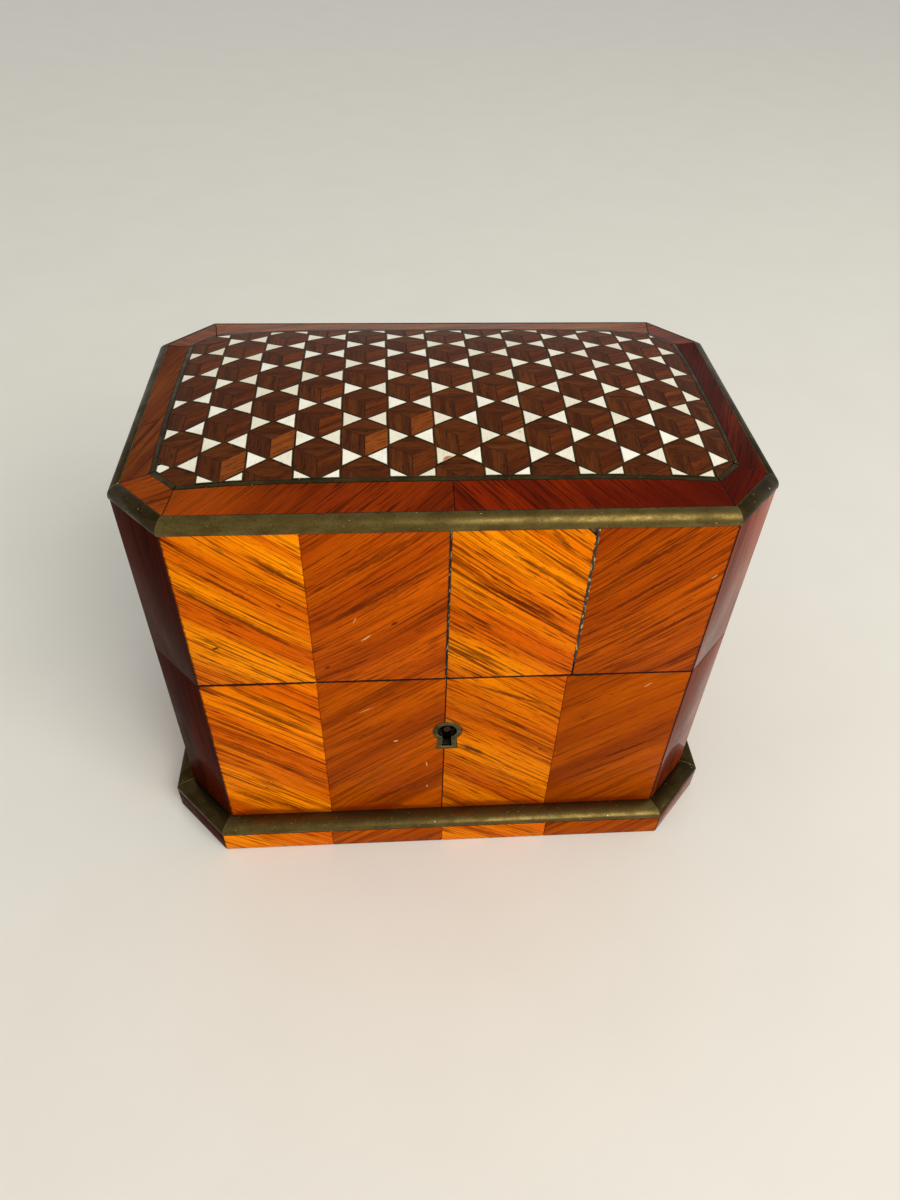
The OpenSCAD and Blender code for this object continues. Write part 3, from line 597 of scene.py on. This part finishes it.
wine_velvet = silk_velvet("wine_velvet", colour(120, 22, 34), colour(88, 12, 24), colour(160, 56, 66))
for node, name in (("case_wall_lining", "case_velvet_walls"), ("case_floor_lining", "case_velvet_floor")):
    lining = worn_copy(node, name, 0.00045, steps=3, flat=0.5, sharp=30, smooth=60)
    fix(lining, "case", [node], wine_velvet)


# ---- Baize under the case ----
# Green wool baize glued under the bottom board, 1.2 mm thick, a little felted and dusty, so that
# the casket doesn't scratch what it stands on.
def wool_baize(name, base, deep):
    """Felted wool with loose fibres."""
    finish, shader = new_finish(name, Roughness=0.95, Sheen_Weight=0.3, Sheen_Roughness=0.5)
    space = here(finish)
    fibres = figure(finish, space, (0, 0, 40), (0.0022, 0.0004, 0.0004), 3, 0.7)
    crossed = figure(finish, space, (0, 0, -50), (0.0022, 0.0004, 0.0004), 3, 0.7)
    wear = figure(finish, space, (0, 0, 0), (0.02,) * 3, 4, 0.6)
    mix = sums(finish, "MAXIMUM", fibres, crossed)
    shade = tint(finish, share(finish, mix, 0.45, 0.75), deep, base)
    shade = tint(finish, share(finish, wear, 0.5, 0.75, 0.0, 0.5), shade, colour(110, 116, 88))
    put(finish, shader, "Base Color", shade)
    relief(finish, shader, mix, 0.0003)
    return finish


green_baize = wool_baize("green_baize", colour(70, 106, 74), colour(34, 62, 42))
baize = worn_copy("underside_baize", "baize_underside", 0.0003, steps=3, flat=0.5, sharp=30, smooth=60)
fix(baize, "case", ["underside_baize"], green_baize)


# ---- Oak carcass of the lid ----
# The same oak as the case, with a flat top board and a shaped ground on it that gives the top
# its dome. Old brown glue covers the ground between the tiles.
keep(oak_along, "lid_front_board", "lid_back_board", "lid_top_board")
keep(oak_across, "lid_left_board", "lid_right_board")
keep(oak_upright, "lid_corner_boards")
keep(seam_wax("dark_glue", colour(48, 28, 14)), "lid_dome_ground")


# ---- Front veneers of the lid ----
# The case's four strips carried up the lid. The third has lost its top corner, and old glue
# stands dark and crumbled in the seams beside it.
# The marks at seam_height are painted shade in the seam between lid and case.
lid_marks = {
    1: [
        on_front(-0.0788, 0.110, 0, 0.0008, 0.3, dark_edge, 0.85, shallow),
        on_front(-0.0706, 0.1028, -20, 0.0016, 0.0008, colour(52, 26, 6), 0.9, shallow),
        on_front(-0.0500, 0.1200, 40, 0.0014, 0.0006, colour(60, 30, 8), 0.8, shallow),
        on_front(-0.0640, 0.1415, 45, 0.0030, 0.0008, colour(84, 66, 20), 0.5, shallow),
        on_front(-0.0640, seam_height, 0, 0.036, 0.0008, seam_painted_shade, 0.9),
        on_front(-0.0500, 0.1335, 40, 0.014, 0.0013, dark_heart, 0.75),
        on_front(-0.0600, 0.1130, 41, 0.024, 0.0012, dark_heart, 0.6),
        on_front(-0.0640, 0.1270, 40, 0.016, 0.0008, dark_heart, 0.8),
    ],
    2: [
        on_front(-0.0256, 0.1056, -42, 0.0026, 0.0004, white_scratch, 0.8, shallow),
        on_front(-0.0287, 0.1132, -70, 0.0018, 0.0003, white_scratch, 0.5, shallow),
        on_front(-0.0170, 0.1115, -35, 0.0016, 0.0007, colour(50, 20, 4), 0.8, shallow),
        on_front(-0.0380, 0.0930, -35, 0.0015, 0.0006, colour(50, 20, 4), 0.7, shallow),
        on_front(-0.0180, seam_height, 0, 0.026, 0.0006, seam_painted_shade, 0.8),
        on_front(-0.0200, 0.1380, -34, 0.023, 0.0016, dark_heart, 0.6),
        on_front(-0.0240, 0.1200, -33, 0.020, 0.0010, dark_heart, 0.6),
        on_front(-0.0120, 0.1290, -35, 0.012, 0.0008, dark_heart, 0.65),
    ],
    3: [
        on_front(0.0300, 0.1420, 50, 0.0080, 0.0012, colour(70, 34, 6), 0.6),
        on_front(0.0360, seam_height, 0, 0.016, 0.0006, seam_painted_shade, 0.8),
        on_front(0.0200, 0.1190, 33, 0.022, 0.0010, dark_heart, 0.7),
        on_front(0.0260, 0.1310, 36, 0.015, 0.0012, dark_heart, 0.6),
    ],
    4: [
        on_front(0.0788, 0.110, 0, 0.0006, 0.3, dark_edge, 0.6, shallow),
        on_front(0.0762, 0.1275, -50, 0.0016, 0.0003, white_scratch, 0.6, shallow),
        on_front(0.0580, 0.1360, -38, 0.020, 0.0012, dark_heart, 0.7),
        on_front(0.0560, 0.1215, -40, 0.022, 0.0008, dark_heart, 0.7),
    ],
}
lid_slants = {1: 38, 2: -36, 3: 38, 4: -39}
lid_depths = {1: 0.96, 2: 0.98, 3: 0.94, 4: 0.85}
lid_bright = colour(255, 148, 2), colour(210, 92, 1), colour(74, 16, 1)
lid_dusky = colour(202, 90, 1), colour(160, 62, 1), colour(62, 13, 1)
lid_strips = worn_copy("lid_front_veneers", "lid_front_strip", 0.0003)
for number, strip in enumerate(apart(lid_strips, "lid_front_strip", left_first), 1):
    if number == 3:
        right = max(v.co.x for v in strip.data.vertices)
        top = max(v.co.z for v in strip.data.vertices)
        broken = (right, front_face, top - 0.0034)
        lone(strip)
        bpy.ops.object.mode_set(mode="EDIT")
        bpy.ops.mesh.select_all(action="SELECT")
        bpy.ops.mesh.bisect(plane_co=broken, plane_no=(0.72, 0.0, 0.69), use_fill=True, clear_outer=True)
        bpy.ops.object.mode_set(mode="OBJECT")
    strip_tones = lid_bright if number in (1, 3) else lid_dusky
    tones = [tuple(c * lid_depths[number] for c in tone) for tone in strip_tones]
    turn = (0, lid_slants[number], 0)
    x, _, z = middle(strip)
    fan = (x, z, 3.0 if number in (1, 3) else -4.5)
    streaky = 0.9 if number in (1, 3) else 0.65
    seed = number * 0.17 + 0.5
    marks = lid_marks[number]
    finish = polished_veneer(f"tulipwood_lid_{number}", turn, tones, seed, streaky, 0.7, marks, fan=fan)
    fix(strip, "lid", ["lid_front_veneers"], finish, orange_wax)
    if number < 3:
        quiet_seam(strip, 1 if number == 1 else -1)


# ---- Old glue in the lid's seams ----
# Hide glue that squeezed out of the second and third seams, gone dark, with pale crumbs where
# it has cracked off. It stands a hair proud of the veneer.
def glue_line(name, x, low, high, width, seed):
    """A thin ragged line of glue up a seam of the lid's front."""
    thickness, ragged, shortest = 0.00012, 0.00014, 0.001
    bpy.ops.object.select_all(action="DESELECT")
    bpy.ops.mesh.primitive_cube_add(size=1, location=(x, front_face, (low + high) / 2))
    line = bpy.context.active_object
    line.name = name
    line.scale = (width, thickness, high - low)
    bpy.ops.object.transform_apply(location=True, rotation=True, scale=True)
    for edge in line.data.edges:
        ends = [line.data.vertices[v].co.z for v in edge.vertices]
        edge.select = abs(ends[0] - ends[1]) > shortest
    for face in line.data.polygons:
        face.select = False
    bpy.ops.object.mode_set(mode="EDIT")
    bpy.ops.mesh.select_mode(type="EDGE")
    bpy.ops.mesh.subdivide(number_cuts=90)
    bpy.ops.mesh.select_all(action="SELECT")
    bpy.ops.transform.vertex_random(offset=ragged, uniform=1.0, seed=seed)
    bpy.ops.object.mode_set(mode="OBJECT")
    bpy.ops.object.shade_smooth()
    line.data.materials.append(crumbly_glue)
    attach(line, "lid")


crumbly_glue, glue_shader = new_finish("crumbly_glue", Roughness=0.55)
grains = figure(crumbly_glue, here(crumbly_glue), (0, 0, 0), (0.0006, 0.0006, 0.0022), 3)
pale_grains = share(crumbly_glue, grains, 0.57, 0.62)
glue_colour = tint(crumbly_glue, pale_grains, colour(40, 26, 10), colour(176, 160, 104))
put(crumbly_glue, glue_shader, "Base Color", glue_colour)
relief(crumbly_glue, glue_shader, grains, 0.0002)
lid_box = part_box("lid_front_veneers")
seam_two = max(v.co.x for v in bpy.data.objects["lid_front_strip_2"].data.vertices)
seam_three = min(v.co.x for v in bpy.data.objects["lid_front_strip_4"].data.vertices)
foot, head = lid_box[0].z, lid_box[1].z - 0.0004
glue_line("seam_glue_2", seam_two, foot + 0.001, head, width=0.0005, seed=5)
glue_line("seam_glue_3", seam_three, foot + 0.006, head, width=0.0009, seed=9)


# ---- Side, back and corner veneers of the lid ----
# Rosewood sheets that carry on the grain of the case's, glued to the lid's boards under the same
# thick polish. They stop at the seam.
for node, name in (("lid_side_veneers", "lid_side_sheet"), ("lid_cant_veneers", "lid_cant_sheet")):
    sheets = worn_copy(node, name, 0.00025)
    for sheet in apart(sheets, name, columns_first):
        fix(sheet, "lid", [node], rosewood_of(sheet), rosewood_wax)


# ---- Brass moulding round the lid ----
# Eight lengths of drawn quarter-round brass, mitred at the corners and pinned to the lid's upper
# edge. The front length is the cleanest; the others are painted nearly black, as painted shade.
moulding = worn_copy("lid_moulding", "lid_moulding_length", 0.00012, steps=2, flat=0.3, sharp=34, smooth=30)
for length in apart(moulding, "lid_moulding_length", front_first):
    fix(length, "lid", ["lid_moulding"], brass_of(length), rubbed_brass)


# ---- Banding round the inlaid panel ----
# Nine pieces of tulipwood banding, bent over the dome's edge and mitred at the corners; the
# front one is in two. It darkens to the right, and one has cracked across.
bands_by_place = {
    "front_left": ((90, 0, 44), colour(148, 52, 2), colour(100, 30, 1), colour(46, 10, 1)),
    "front_right": ((90, 0, -50), colour(136, 38, 1), colour(94, 21, 1), colour(40, 8, 1)),
    "back": ((90, 0, 24), colour(150, 78, 22), colour(116, 54, 14), colour(58, 22, 5)),
    "left": ((90, 0, 66), colour(126, 62, 14), colour(98, 42, 8), colour(46, 16, 3)),
    "right": ((90, 0, 70), colour(92, 24, 2), colour(60, 10, 1), colour(30, 5, 1)),
    "front_left_cant": ((90, 0, 20), colour(156, 74, 10), colour(116, 46, 5), colour(50, 18, 2)),
    "front_right_cant": ((90, 0, 60), colour(92, 18, 1), colour(62, 9, 1), colour(30, 5, 1)),
    "back_left_cant": ((90, 0, -30), colour(128, 60, 16), colour(98, 40, 10), colour(50, 18, 4)),
    "back_right_cant": ((90, 0, 30), colour(120, 44, 8), colour(92, 28, 5), colour(44, 12, 2)),
}
band_marks = {
    "front_left": ((-0.080, -0.052, 0.150), (0, 0, 0), (0.044, 0.020, 0.020), colour(168, 80, 6), 0.35),
    "front_right": ((0.080, -0.052, 0.150), (0, 0, 0), (0.060, 0.020, 0.020), colour(62, 6, 1), 0.75),
    "back": ((-0.0014, 0.0545, 0.152), (0, 0, 0), (0.0004, 0.0040, 0.020), colour(30, 16, 8), 0.9),
    "left": ((-0.0885, -0.011, 0.152), (0, 0, 10), (0.0036, 0.0004, 0.006), colour(34, 16, 8), 0.9),
}
banding = worn_copy("top_banding", "banding", 0.00012, steps=1, flat=0.1, sharp=40, smooth=30)
for strip in apart(banding, "banding", front_first):
    place = place_of(strip)
    if place == "front":
        place = "front_left" if middle(strip)[0] < 0 else "front_right"
    strip.name = "banding_" + place
    turn, *tones = bands_by_place[place]
    marks = [band_marks[place]] if place in band_marks else []
    gloss = 0.35 if place.startswith("back") else 0.06
    finish = polished_veneer("tulipwood_" + place, turn, tones, 0.9, cloudy=0.5, marks=marks, gloss=gloss)
    fix(strip, "lid", ["top_banding"], finish, orange_wax)


# ---- Brass fillet round the panel ----
# Eight thin lengths of sheet brass, let in on edge between the banding and the inlay and glued.
# They have gone dark olive.
fillet_brass = tarnished_brass("fillet_brass", colour(54, 46, 26), colour(92, 82, 48), shine=0.5)
fillet_edge = tarnished_brass("fillet_edge", colour(36, 30, 18), colour(62, 54, 34), shine=0.4)
fillets = worn_copy("panel_fillet", "panel_fillet_length", 0.0002, steps=2, flat=0.1, sharp=40, smooth=30)
for length in apart(fillets, "panel_fillet_length", front_first):
    fix(length, "lid", ["panel_fillet"], fillet_brass, fillet_edge)


# ---- Brass lines round the bone ----
# A ring of thin brass and dark mastic round every bone triangle, glued in with it and rubbed
# down flush.
dark_line = tarnished_brass("dark_line", colour(46, 40, 22), colour(104, 92, 50), shine=0.6)
lines = worn_copy("brass_stringing", "bone_lines", 0, steps=1, flat=0.1, sharp=40, smooth=30)
fix(lines, "lid", ["brass_stringing"], dark_line)


# ---- Bone triangles ----
# A hundred and forty-nine triangles of polished bone, each sawn by hand, so that their tones
# differ and some stand a hair's breadth lower. The front left one is worn to an oval.
def tone_each(piece, seed, sink, bias=None):
    """Stores a tone for each loose tile, and lets it down by a chance share of sink."""
    mesh = piece.data
    owner = list(range(len(mesh.vertices)))

    def first(v):
        while owner[v] != v:
            owner[v] = owner[owner[v]]
            v = owner[v]
        return v

    for edge in mesh.edges:
        owner[first(edge.vertices[0])] = first(edge.vertices[1])
    tiles = {}
    for vertex in mesh.vertices:
        tiles.setdefault(first(vertex.index), []).append(vertex)
    tone = mesh.attributes.new("tone", "FLOAT", "POINT")
    chance = random.Random(seed)
    for tile in sorted(tiles.values(), key=lambda t: (round(t[0].co.x, 4), round(t[0].co.y, 4))):
        x = sum(v.co.x for v in tile) / len(tile)
        y = sum(v.co.y for v in tile) / len(tile)
        value = chance.random()
        if bias:
            value = bias(x, y, value)
        drop = chance.random() * sink
        for vertex in tile:
            tone.data[vertex.index].value = value
            vertex.co.z -= drop
    return [[vertex.index for vertex in tile] for tile in tiles.values()]


def oval_tile(piece, tiles, x, y, half_x, half_y):
    """Wears the tile nearest x and y down to an oval of the half lengths given."""

    def centre(tile):
        corners = [piece.data.vertices[v].co for v in tile]
        return [sum(c[axis] for c in corners) / len(corners) for axis in (0, 1)]

    worn = min(tiles, key=lambda tile: math.dist(centre(tile), (x, y)))
    across, along = centre(worn)
    lone(piece)
    for vertex in piece.data.vertices:
        vertex.select = vertex.index in worn
    for part in (*piece.data.edges, *piece.data.polygons):
        part.select = set(worn).issuperset(part.vertices)
    bpy.ops.object.mode_set(mode="EDIT")
    bpy.ops.mesh.subdivide(number_cuts=6)
    bpy.ops.object.mode_set(mode="OBJECT")
    for vertex in piece.data.vertices:
        reach = math.hypot((vertex.co.x - across) / half_x, (vertex.co.y - along) / half_y)
        if vertex.select and reach > 1:
            vertex.co.x = across + (vertex.co.x - across) / reach
            vertex.co.y = along + (vertex.co.y - along) / reach


def polished_bone(name):
    """Old bone: creamy, with fine pores along it, yellowed patches and one rust-brown stain."""
    finish, shader = new_finish(name, Coat_Weight=0.35, Coat_Roughness=0.12)
    space = here(finish)
    tone = add(finish, "ShaderNodeAttribute", {}, attribute_name="tone").outputs["Fac"]
    pores = share(finish, figure(finish, space, (90, 0, 80), (0.0024, 0.001, 0.00022), 2), 0.58, 0.72)
    clouds = figure(finish, space, (0, 0, 0), (0.004,) * 3, 3, 0.6)
    base = tint(finish, tone, colour(240, 239, 226), colour(222, 216, 194))
    base = tint(finish, share(finish, clouds, 0.45, 0.75, 0.0, 0.5), base, colour(214, 204, 172))
    base = tint(finish, sums(finish, "MULTIPLY", pores, 0.28), base, colour(150, 132, 98))
    stain = spot(finish, space, (-0.0008, -0.0373, 0.155), (0, 0, 40), (0.0026, 0.0015, 0.020), 0.6)
    base = tint(finish, stain, base, colour(172, 92, 38))
    stain = spot(finish, space, (0.0205, -0.0262, 0.155), (0, 0, 0), (0.0007, 0.0006, 0.004))
    base = tint(finish, sums(finish, "MULTIPLY", stain, 0.7), base, colour(150, 110, 62))
    put(finish, shader, "Base Color", base)
    put(finish, shader, "Roughness", share(finish, clouds, 0.3, 0.7, 0.30, 0.48))
    relief(finish, shader, sums(finish, "SUBTRACT", clouds, pores), 0.00003)
    return finish


bone = polished_bone("polished_bone")
bone_edge = seam_wax("bone_edge", colour(206, 198, 170))
bones = worn_copy("bone_triangles", "bone_tiles", 0.00012, steps=1, flat=0.1, sharp=40, smooth=30)
bone_tiles = tone_each(bones, seed=11, sink=0.00002)
oval_tile(bones, bone_tiles, x=-0.0788, y=-0.0408, half_x=0.0022, half_y=0.0017)
fix(bones, "lid", ["bone_triangles"], bone, bone_edge)


# ---- Cube tiles ----
# Rhombi of kingwood, three to a hexagon, with the grain turned in each so that they read as
# small cubes. Most have darkened alike; a few right-hand ones have stayed light.
def kingwood(name, turn, pale, deep, seed):
    """Kingwood tiles under polish; a tile's tone runs from dark to light."""
    streak, light = colour(34, 14, 8), colour(158, 82, 26)
    finish, shader = new_finish(name, Coat_Weight=0.12, Coat_Roughness=0.09, Specular_IOR_Level=0.01)
    space = here(finish)
    off = (seed, seed * 0.4, seed * 1.1)
    tone = add(finish, "ShaderNodeAttribute", {}, attribute_name="tone").outputs["Fac"]
    bands = figure(finish, space, turn, (0.03, 0.02, 0.0022), 3, centre=off)
    fibre = figure(finish, space, turn, (0.006, 0.003, 0.0004), 3, 0.6, centre=off)
    pores = share(finish, figure(finish, space, turn, (0.0035, 0.002, 0.0004), 1, centre=off), 0.58, 0.70)
    base = tint(finish, share(finish, bands, 0.35, 0.65), pale, deep)
    base = tint(finish, share(finish, tone, 0.0, 1.0, 0.0, 0.6), base, deep)
    base = tint(finish, share(finish, tone, 0.905, 0.93), base, tint(finish, bands, light, pale))
    base = tint(finish, share(finish, fibre, 0.4, 0.75, 0.0, 0.55), base, streak)
    base = tint(finish, sums(finish, "MULTIPLY", pores, 0.7), base, streak)
    put(finish, shader, "Base Color", base)
    put(finish, shader, "Roughness", share(finish, fibre, 0.3, 0.7, 0.30, 0.45))
    relief(finish, shader, sums(finish, "SUBTRACT", fibre, pores), 0.00004)
    return finish


tile_wax = seam_wax("tile_wax", colour(68, 33, 13))
light_tiles = (  # x, y, tone
    (-0.0598, -0.0398, 0.926),
    (-0.0473, -0.0285, 0.923),
    (-0.0210, -0.0298, 1.000),
    (-0.0085, -0.0198, 0.920),
)


def chance_tone(x, y, chance):
    """Tiles have darkened by chance, and none is light."""
    return chance * 0.9


def tile_tone(x, y, chance):
    """A few right-hand tiles near the front have stayed light; the rest have darkened by chance."""
    near = 0.0065
    for across, along, tone in light_tiles:
        if math.hypot(x - across, y - along) < near:
            return tone
    return chance_tone(x, y, chance)


for node, name, turn, pale, deep, seed in (
    ("cube_tops", "cube_top_tiles", (90, 0, 0), colour(100, 50, 12), colour(70, 31, 7), 21),
    ("cube_lefts", "cube_left_tiles", (90, 0, 90), colour(96, 48, 13), colour(67, 30, 7), 22),
    ("cube_rights", "cube_right_tiles", (90, 0, 30), colour(112, 52, 10), colour(76, 32, 6), 23),
):
    rhombi = worn_copy(node, name, 0.00010, steps=1, flat=0.1, sharp=40, smooth=30)
    tone_each(rhombi, seed, sink=0.00002, bias=tile_tone if node == "cube_rights" else chance_tone)
    finish = kingwood("kingwood_" + node, turn, pale, deep, seed * 0.1)
    fix(rhombi, "lid", [node], finish, tile_wax)


# ---- Strike plate and hinges, upper halves ----
# Brass strike plate that the bolt's hooks catch in, and the hinges' upper leaves, let into the
# lid's edge and screwed.
for node in ("strike_plate", "strike_screws", "hinge_upper_leaves", "hinge_upper_screws"):
    metal = hinge_brass if node.startswith("hinge") else lock_brass
    part = worn_copy(node, "worn_" + node, 0.0001, steps=1, flat=0.2, sharp=40, smooth=35)
    fix(part, "lid", [node], metal, arris_brass)


# ---- Velvet linings of the lid ----
# The same card panels under wine-red silk velvet, glued to the lid's walls and its ceiling, with
# the velvet rolled over their edges.
for node, name in (("lid_wall_lining", "lid_velvet_walls"), ("lid_ceiling_lining", "lid_velvet_ceiling")):
    lining = worn_copy(node, name, 0.00045, steps=3, flat=0.5, sharp=30, smooth=60)
    fix(lining, "lid", [node], wine_velvet)


# ---- Floor ----
# A plain pale table top, wide enough for every view, in matt paint with the faintest clouds. It
# is there to stand on, and isn't part of the casket.
bpy.ops.mesh.primitive_plane_add(size=12, location=(0, 0, 0))
floor = bpy.context.active_object
floor.name = "table_top"
paint, paint_shader = new_finish("white_paint", Roughness=0.55)
grain = figure(paint, here(paint), (0, 0, 0), (0.05,) * 3, 4, 0.6)
put(paint, paint_shader, "Base Color", tint(paint, grain, colour(229, 228, 221), colour(222, 221, 213)))
floor.data.materials.append(paint)


# ---- Light ----
# One wide soft light from the right of the front, and an even pale surround that the polish
# mirrors.
lamp_place = (0.75, -0.95, 1.15)
lamp_aim = (0, 0, 0.08)
bpy.ops.object.light_add(type="AREA", location=lamp_place)
lamp = bpy.context.active_object
lamp.name = "key_light"
lamp.data.size = 0.9
lamp.data.energy = 19
lamp.data.color = (1.0, 0.95, 0.87)
away = [p - a for p, a in zip(lamp_place, lamp_aim)]
tilt = math.atan2(math.hypot(away[0], away[1]), away[2])
lamp.rotation_euler = (tilt, 0, math.atan2(away[0], -away[1]))
world = bpy.data.worlds.new("pale_room")
bpy.context.scene.world = world
world.use_nodes = True
surround = world.node_tree.nodes["Background"]
surround.inputs["Color"].default_value = (0.90, 0.885, 0.85, 1.0)
surround.inputs["Strength"].default_value = 0.68
bpy.context.scene.view_settings.view_transform = "Standard"


# ---- Camera ----
# Held above the front and a little to the left, tipped down at the casket and rolled slightly,
# with a fairly wide lens.
bpy.ops.object.camera_add()
camera = bpy.context.active_object
camera.name = "camera"
camera.data.lens = 25.876
camera.data.sensor_width = 36
camera.data.clip_start = 0.01
place = Matrix.Translation((-0.01699, -0.23813, 0.29378))
aim = Matrix.Rotation(math.radians(-5.158), 4, "Z")
tip = Matrix.Rotation(math.radians(90 - 43.743), 4, "X")
roll = Matrix.Rotation(math.radians(2.195), 4, "Z")
camera.matrix_world = place @ aim @ tip @ roll
bpy.context.scene.camera = camera
